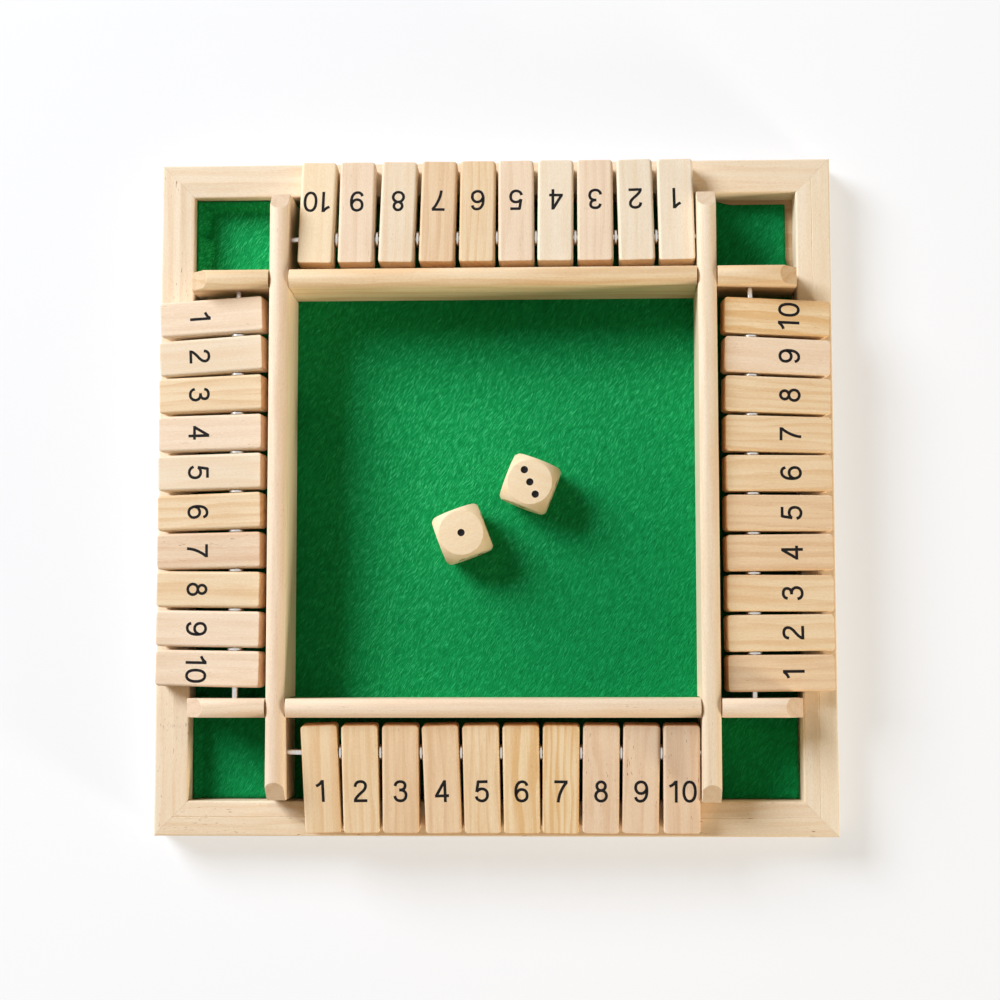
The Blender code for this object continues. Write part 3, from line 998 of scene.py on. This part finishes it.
@dataclass
class Tiles:
    """The forty number tiles with their printed numbers."""

    wood: Pine = Pine("tile_wood")
    ink: Ink = Ink()
    long_rounding: float = 0.9 * MM
    end_rounding: float = 0.45 * MM
    corner_radius: float = 1.2 * MM
    flat_margin: float = 0.1 * MM
    rounding_steps: int = 5
    corner_steps: int = 6
    bore_radius: float = 1.55 * MM
    bore_sides: int = 32
    number_distance: float = 11.9 * MM
    count: int = 10
    first_cut: int = 5
    tones: dict[Side, str] = field(default_factory=lambda: {
        Side.SOUTH: "HONEY HONEY TAN TAN HONEY AMBER AMBER FLECKED FLECKED FLECKED",
        Side.EAST: "TAN HONEY HONEY TAN TAN HONEY HONEY HONEY ROSY AMBER",
        Side.NORTH: "PALE PALE ROSY PALE ROSY HONEY TAN CREAM ROSY BLOND",
        Side.WEST: "ROSY CREAM HONEY ROSY CREAM HONEY FLECKED HONEY ROSY ROSY"})

    def ring(self, pose: TilePose, turn: float, way: int, margin: float = 0.0) -> list[Point]:
        """Return one level line around the tile's rounded edge.

        Args:
            pose: The tile's reaches.
            turn: How far around the rounding it runs, from 0 on the face to a quarter turn on the side.
            way: 1 at the printed face, -1 at the other.
            margin: How far it lies from the rounding, on the flat.

        Returns:
            Its points.
        """
        points = []
        for across, along in ((1, 1), (-1, 1), (-1, -1), (1, -1)):
            reach = pose.inner_reach if along > 0 else pose.outer_reach
            corner = Vector((across * (pose.half_width - self.corner_radius),
                             along * (reach - self.corner_radius)))
            start = math.atan2(along, across) - math.pi / 4
            for step in range(self.corner_steps + 1):
                angle = start + step / self.corner_steps * math.pi / 2
                out = Vector((math.cos(angle), math.sin(angle)))
                rounding = self.long_rounding * out.x ** 2 + self.end_rounding * out.y ** 2
                inset = rounding * (1 - math.sin(turn)) + margin * (turn == 0)
                drop = rounding * (1 - math.cos(turn)) + margin * (turn > 0)
                place = corner + out * (self.corner_radius - inset)
                points.append((place.x, place.y, way * (pose.half_thickness - drop)))
        return points

    def blank(self, pose: TilePose) -> bpy.types.Mesh:
        """Return a tile's mesh: a bar with soft long edges, crisp end edges and a hole for the rod."""
        turns = [step / self.rounding_steps * math.pi / 2 for step in range(self.rounding_steps + 1)]
        rings = [self.ring(pose, 0.0, -1, self.flat_margin)] + [self.ring(pose, turn, -1) for turn in turns]
        rings += [self.ring(pose, turns[-1], way, self.flat_margin) for way in (-1, 1)]
        rings += [self.ring(pose, turn, 1) for turn in reversed(turns)]
        rings.append(self.ring(pose, 0.0, 1, self.flat_margin))
        shape, hole = bmesh.new(), bmesh.new()
        loft_into(shape, rings)
        cylinder_into(hole, self.bore_radius, 4 * pose.half_width, self.bore_sides,
                      Matrix.Rotation(math.pi / 2, 4, "Y"))
        made = modified(closed_mesh("tile", shape), boolean("DIFFERENCE", closed_mesh("drill", hole)))
        return smoothed(made, 40)

    def build(self, frame: dict[str, Any], hinges: dict[str, Vector]) -> None:
        """Build every tile and its number.

        Args:
            frame: What the frame holds.
            hinges: Where each flap's rod passes through the middle of its tile.
        """
        numbers = {value: Numbers().number(value) for value in range(1, self.count + 1)}
        ink = self.ink.material("black_ink")
        blank: Optional[bpy.types.Mesh] = None
        draw = random.Random(self.first_cut)
        for side in Side:
            for value, tone in enumerate(self.tones[side].split(), 1):
                name = "%s_%d" % (side.word, value)
                node, flap = "tile_" + name, "flap_" + name
                pose = TilePose.of(frame["nodes"][node], hinges[flap])
                blank = blank or self.blank(pose)
                wood = self.wood.material("pine_" + node, Grain.Y, draw.randrange(10000), Tone[tone])
                new_piece(node + "_dressed", blank.copy(), flap, wood, [node], pose.matrix)
                lift = Matrix.Translation((0, -self.number_distance, pose.half_thickness))
                new_piece("number_" + name, numbers[value].copy(), flap, ink,
                          place=pose.matrix @ lift)


@dataclass
class Dice:
    """The two wooden dice: cubes that a ball rounds off, with sunk black pips."""

    wood: Pine = Pine("dice_wood", end_tint=(1.0, 0.96, 0.91), fibre_strength=0.15)
    ball_radius: float = 10.7 * MM
    pip_radius: float = 1.2 * MM
    pip_depth: float = 0.35 * MM
    pip_spread: float = 4.35 * MM / math.sqrt(2)
    edge: float = 0.6 * MM
    first_cut: int = 70
    throws: tuple[tuple[str, int, float], ...] = (("die_one", 1, 20.6), ("die_three", 3, -21.3))

    def pips(self, count: int) -> list[tuple[int, int]]:
        """Return the places of a face's pips, in steps of the spread."""
        places = []
        if count % 2:
            places.append((0, 0))
        if count > 1:
            places += [(1, -1), (-1, 1)]
        if count > 3:
            places += [(1, 1), (-1, -1)]
        if count == 6:
            places += [(1, 0), (-1, 0)]
        return places

    def faces(self, top: int) -> list[tuple[int, Matrix]]:
        """Return each face's number of pips and the turn that brings it to the top."""
        beside = next(value for value in (1, 2, 3) if value not in (top, 7 - top))
        last = next(value for value in (1, 2, 3) if value not in (top, 7 - top, beside, 7 - beside))
        turns = ((top, 0, "X"), (7 - top, 180, "X"), (beside, 90, "X"), (7 - beside, -90, "X"),
                 (last, 90, "Y"), (7 - last, -90, "Y"))
        return [(count, Matrix.Rotation(math.radians(turn), 4, axis)) for count, turn, axis in turns]

    def build_one(self, node: str, top: int, turn: float) -> None:
        """Build one die.

        Args:
            node: The solid that it stands for.
            top: How many pips show on top.
            turn: Its turn about the vertical, in degrees.
        """
        low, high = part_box(node)
        half = (high.z - low.z) / 2
        cube, ball, pits = bmesh.new(), bmesh.new(), bmesh.new()
        bmesh.ops.create_cube(cube, size=2 * half)
        bmesh.ops.create_uvsphere(ball, u_segments=96, v_segments=64, radius=self.ball_radius)
        pit_radius = (self.pip_radius ** 2 + self.pip_depth ** 2) / (2 * self.pip_depth)
        for count, to_top in self.faces(top):
            for across, along in self.pips(count):
                place = Vector((across * self.pip_spread, along * self.pip_spread,
                                half + pit_radius - self.pip_depth))
                bmesh.ops.create_uvsphere(pits, u_segments=32, v_segments=24, radius=pit_radius,
                                          matrix=to_top @ Matrix.Translation(place))
        wooden, painted = closed_mesh("cube", cube), closed_mesh("pits", pits)
        wooden.materials.append(self.wood.material("pine_" + node, Grain.X, self.first_cut + top, Tone.BLOND))
        painted.materials.append(Ink().material("pip_paint_" + node))
        made = modified(wooden, boolean("INTERSECT", closed_mesh("ball", ball)), bevel(self.edge, 3, 25),
                        boolean("DIFFERENCE", painted, material_mode="TRANSFER"))
        turned = Matrix.Rotation(math.radians(turn), 4, "Z")
        new_piece(node + "_dressed", smoothed(made, 28), node, stands_for=[node],
                  place=Matrix.Translation((low + high) / 2) @ turned)

    def build(self) -> None:
        """Build both dice."""
        for node, top, turn in self.throws:
            self.build_one(node, top, turn)


@dataclass
class FeltFloor:
    """The felt on the floor, which climbs the walls of the western wells and stops short in one."""

    finish: Felt = Felt()
    coarse_step: float = 1.6 * MM
    fine_step: float = 0.5 * MM
    thickness_share: float = 0.7
    ripple: float = 0.12 * MM
    ripple_length: float = 14 * MM
    climb_eases: float = 6 * MM
    north_west_rise: float = 7.8 * MM
    south_west_rise: float = 3.6 * MM
    north_rise: float = 7.0 * MM
    north_foot: float = 2.2 * MM
    short_eases: float = 8 * MM
    short_east: float = 2.0 * MM
    short_north: float = 1.4 * MM
    west_shift: float = 0.2 * MM
    turned_up: float = 1 * MM
    folds: tuple[Pair, ...] = (
        (72.0 * MM, 2.2 * MM), (76.0 * MM, 2.6 * MM), (83.0 * MM, 4.4 * MM), (86.5 * MM, 4.0 * MM),
        (88.0 * MM, 1.2 * MM), (91.0 * MM, 2.8 * MM), (99.0 * MM, 3.4 * MM))

    def lines(self, reach: float, fine_from: float, fine_to: float) -> list[float]:
        """Return grid lines from one edge to the other, closer together over one stretch."""
        places = [-reach]
        while places[-1] < reach - self.fine_step * 0.5:
            fine = fine_from <= places[-1] < fine_to
            places.append(min(places[-1] + (self.fine_step if fine else self.coarse_step), reach))
        return places

    def climb(self, x: float, y: float, reach: float, well: float) -> float:
        """Return how far the felt stands off the board where it climbs a wall."""
        ease = well - self.climb_eases
        rise = (self.north_west_rise * smooth(y, ease, well) + self.south_west_rise * smooth(-y, ease, well))
        foot = float(np.interp(y, *zip(*self.folds)))
        lift = rise * max(0.0, 1 - (x + reach) / foot) ** 0.85
        north = self.north_rise * smooth(-x, ease, well) * max(0.0, 1 - (reach - y) / self.north_foot) ** 1.3
        return max(lift, north)

    def build(self) -> None:
        """Build the felt."""
        low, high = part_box("felt_sheet")
        well = -Side.SOUTH.box("rail_south")[0].y
        eased = well + self.short_eases
        reach = high.x
        xs = self.lines(reach, -reach, -well)
        shape = bmesh.new()
        grid = []
        for y in self.lines(reach, well, reach):
            row = []
            for x in xs:
                short_x = self.short_east * smooth(y, well, eased) * smooth(x, well, reach)
                short_y = self.short_north * smooth(x, well, eased) * smooth(y, well, reach)
                wave = noise.noise(Vector((x, y, 0)) / self.ripple_length) * self.ripple
                level = high.z - self.ripple + wave + self.climb(x, y, reach, well)
                row.append(shape.verts.new((x - short_x - self.west_shift, y - short_y, level)))
            grid.append(row)
        for first, second in zip(grid, grid[1:]):
            for index in range(len(xs) - 1):
                shape.faces.new((first[index], first[index + 1], second[index + 1], second[index]))
        thickness = (high.z - low.z) * self.thickness_share
        thick = modified(closed_mesh("felt_sheet", shape),
                         ("SOLIDIFY", {"thickness": thickness, "offset": -1.0}))
        thick.shade_smooth()
        piece = new_piece("felt_dressed", thick, "board", self.finish.material(),
                          ["felt_sheet"])


def smooth(value: float, low: float, high: float) -> float:
    """Rise smoothly from 0 at the low value to 1 at the high one."""
    share = min(max((value - low) / (high - low), 0.0), 1.0)
    return share * share * (3 - 2 * share)


@dataclass(frozen=True)
class Lamp:
    """A soft round lamp: the way to it from the board, its distance, its width and its power in watts."""

    name: str
    towards: Point
    distance: float
    size: float
    power: float
    colour: Colour


@dataclass
class Studio:
    """The pale table, the soft light from the upper left and the camera almost overhead."""

    camera_place: Point = (26.68 * MM, -55.79 * MM, 636.4 * MM)
    camera_turns: Point = (-0.0864, -0.0396, 0.0045)
    focal_pixels: float = 1918.4
    image_pixels: float = 1000.0
    sensor: float = 36.0
    table_reach: float = 0.7
    table_level: float = -0.05 * MM
    table_glow: Colour = (0.550, 0.545, 0.535)
    table_colour: Colour = (0.427, 0.457, 0.505)
    table_bounce: Colour = (0.86, 0.85, 0.84)
    fill_colour: Colour = (1.0, 0.74, 0.46)
    fill_strength: float = 0.25
    room_strength: float = 0.95
    lamps: tuple[Lamp, ...] = (
        Lamp("key", (-1.148, 0.885, 1.0), 2.2, 1.2, 57.0, (0.96, 0.99, 1.04)),
        Lamp("side", (0.80, -0.60, 0.14), 1.6, 0.4, 20.0, (1.0, 0.88, 0.70)))

    def camera(self) -> None:
        """Place the camera."""
        data = bpy.data.cameras.new("camera")
        data.sensor_width = self.sensor
        data.lens = self.focal_pixels * self.sensor / self.image_pixels
        camera = linked("camera", data)
        tilt, lean, roll = (Matrix.Rotation(turn, 3, axis) for turn, axis in zip(self.camera_turns, "XYZ"))
        turned = (roll @ lean @ tilt).transposed().to_4x4()
        camera.matrix_world = Matrix.Translation(self.camera_place) @ turned
        bpy.context.scene.camera = camera

    def table(self) -> None:
        """Make the pale table that the board lies on."""
        shape = bmesh.new()
        bmesh.ops.create_grid(shape, x_segments=1, y_segments=1, size=self.table_reach)
        mesh = closed_mesh("table", shape)
        table = linked("table", mesh)
        table.location.z = self.table_level
        material = bpy.data.materials.new("pale_table")
        material.use_nodes = True
        nodes = Nodes(material.node_tree)
        glow = nodes.node("ShaderNodeEmission", {}, {"Color": self.table_glow}).outputs[0]
        lit = nodes.node("ShaderNodeBsdfDiffuse", {}, {"Color": self.table_colour}).outputs[0]
        bounce = nodes.node("ShaderNodeBsdfDiffuse", {}, {"Color": self.table_bounce}).outputs[0]
        shown = nodes.node("ShaderNodeAddShader", {}, {0: glow, 1: lit}).outputs[0]
        mixed = nodes.node("ShaderNodeMixShader", {}, {0: nodes.seen(), 1: bounce, 2: shown}).outputs[0]
        nodes.node("ShaderNodeOutputMaterial", {}, {"Surface": mixed})
        mesh.materials.append(material)

    def lamp(self, lamp: Lamp) -> None:
        """Hang a soft round lamp that shines on the middle of the board."""
        data = bpy.data.lights.new(lamp.name, "AREA")
        data.shape = "DISK"
        data.size = lamp.size
        data.energy = lamp.power
        data.color = lamp.colour
        hung = linked(lamp.name, data)
        direction = Vector(lamp.towards).normalized()
        hung.matrix_world = (Matrix.Translation(direction * lamp.distance)
                             @ direction.to_track_quat("Z", "Y").to_matrix().to_4x4())

    def room(self) -> None:
        """Set the fill of the room, which shows white in gloss."""
        world = bpy.data.worlds.new("room")
        bpy.context.scene.world = world
        world.use_nodes = True
        nodes = Nodes(world.node_tree)
        fill = nodes.node("ShaderNodeBackground", {},
                          {"Color": self.fill_colour, "Strength": self.fill_strength}).outputs[0]
        white = nodes.node("ShaderNodeBackground", {},
                           {"Color": (1.0, 1.0, 1.0), "Strength": self.room_strength}).outputs[0]
        mixed = nodes.node("ShaderNodeMixShader", {}, {0: nodes.seen(), 1: fill, 2: white}).outputs[0]
        nodes.node("ShaderNodeOutputWorld", {}, {"Surface": mixed})

    def build(self) -> None:
        """Build the studio."""
        self.camera()
        self.table()
        for lamp in self.lamps:
            self.lamp(lamp)
        self.room()
        bpy.context.scene.view_settings.view_transform = "Standard"


def main() -> None:
    """Build the game around its frame, piece by piece."""
    logging.basicConfig(level=logging.INFO, format="%(message)s")
    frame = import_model()
    Studio().build()
    hinges = {joint["child"]: Vector(joint["pos_m"]) for joint in frame["joints"]
              if joint["type"] == "hinge"}
    first = Side.SOUTH.turn.inverted() @ hinges["flap_south_1"]
    rod_line, rod_height = -first.y, first.z
    Mouldings().build()
    Rails().build(rod_line, rod_height)
    steel = Rod().steel.material()
    for side in Side:
        places = [(side.turn.inverted() @ hinges["flap_%s_%d" % (side.word, value)]).x
                  for value in range(1, Tiles.count + 1)]
        Rod().build(side, places, rod_line, rod_height, steel)
    Tiles().build(frame, hinges)
    Dice().build()
    FeltFloor().build()
    plywood = Pine("base_plywood", ring_spacing=7.0)
    board = frame["nodes"]["base_board"]
    board.data.materials.clear()
    board.data.materials.append(plywood.material("birch_plywood", Grain.X, 91, Tone.PLY))


if __name__ == "__main__":
    main()
